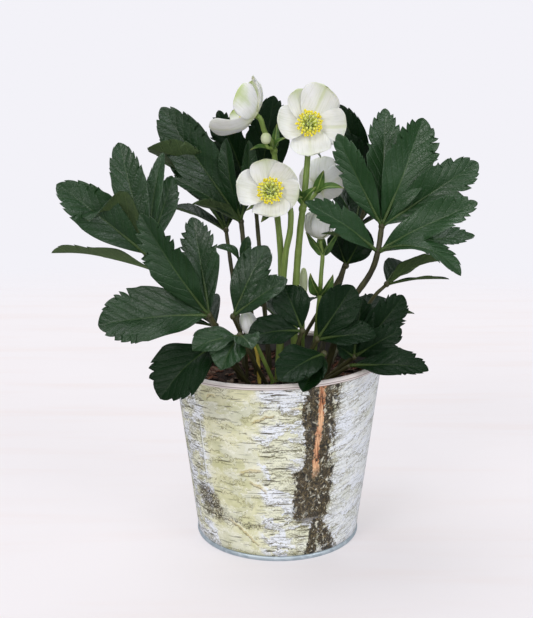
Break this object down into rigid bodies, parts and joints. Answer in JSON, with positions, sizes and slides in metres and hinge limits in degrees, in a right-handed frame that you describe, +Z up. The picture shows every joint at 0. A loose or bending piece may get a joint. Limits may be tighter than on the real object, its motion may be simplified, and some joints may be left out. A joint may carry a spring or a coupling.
{
  "type": "potted hellebore plant",
  "caption": "Christmas rose with toothed palmate leaves and white cup flowers on green stems, growing in a tapered metal pot printed with birch bark.",
  "frame": {"origin": "centre of the pot's foot, on the surface it stands on, under the recessed base disc", "axes": "+Z up; +Y points away from the side the picture shows; +X to the right of that side"},
  "size_m": [0.2843, 0.2289, 0.3226],
  "materials": {
    "carpel": "satin, pale green",
    "sepal": "soft matt white, green-tinged tips",
    "stamen": "matt, powdery yellow",
    "bud": "soft matt, green-white",
    "green_stem": "satin, bright olive green",
    "dried_stalk": "matt, dry yellow",
    "leaf": "satin, dark green with paler midribs",
    "zinc": "galvanised, satin",
    "birch_print": "satin, printed with a birch bark pattern",
    "soil": "matt, crumbly, with bark chips"
  },
  "bodies": {
    "root": {"bloom_front_carpels": "carpel", "bloom_front_sepals": "sepal", "bloom_front_stamens": "stamen", "bloom_half_open_sepals": "sepal", "bloom_left_carpels": "carpel", "bloom_left_sepals": "sepal", "bloom_left_stamens": "stamen", "bloom_rear_carpels": "carpel", "bloom_rear_sepals": "sepal", "bloom_rear_stamens": "stamen", "bloom_right_carpels": "carpel", "bloom_right_sepals": "sepal", "bloom_right_stamens": "stamen", "bud_low": "bud", "bud_round": "bud", "bud_slim": "bud", "bud_stalk_low": "green_stem", "bud_stalk_slim": "green_stem", "dried_stalk": "dried_stalk", "flower_stem_front": "green_stem", "flower_stem_half_open": "green_stem", "flower_stem_left": "green_stem", "flower_stem_right": "green_stem", "leaf_back_right": "leaf", "leaf_centre_left": "leaf", "leaf_front": "leaf", "leaf_front_drape": "leaf", "leaf_left_drape": "leaf", "leaf_left_high": "leaf", "leaf_left_low": "leaf", "leaf_lobed": "leaf", "leaf_mid_right": "leaf", "leaf_rear_left_high": "leaf", "leaf_rear_low_left": "leaf", "leaf_rear_low_middle": "leaf", "leaf_rear_low_right": "leaf", "leaf_rear_right_high": "leaf", "leaf_right_drape": "leaf", "leaf_right_high": "leaf", "leaf_right_low": "leaf", "leaf_right_olive": "leaf", "leaf_shade_right": "leaf", "leaf_top_centre": "leaf", "leaf_upper_left": "leaf", "leaf_young": "leaf", "pot_base": "zinc", "pot_wall": "birch_print", "soil": "soil"}
  },
  "joints": []
}
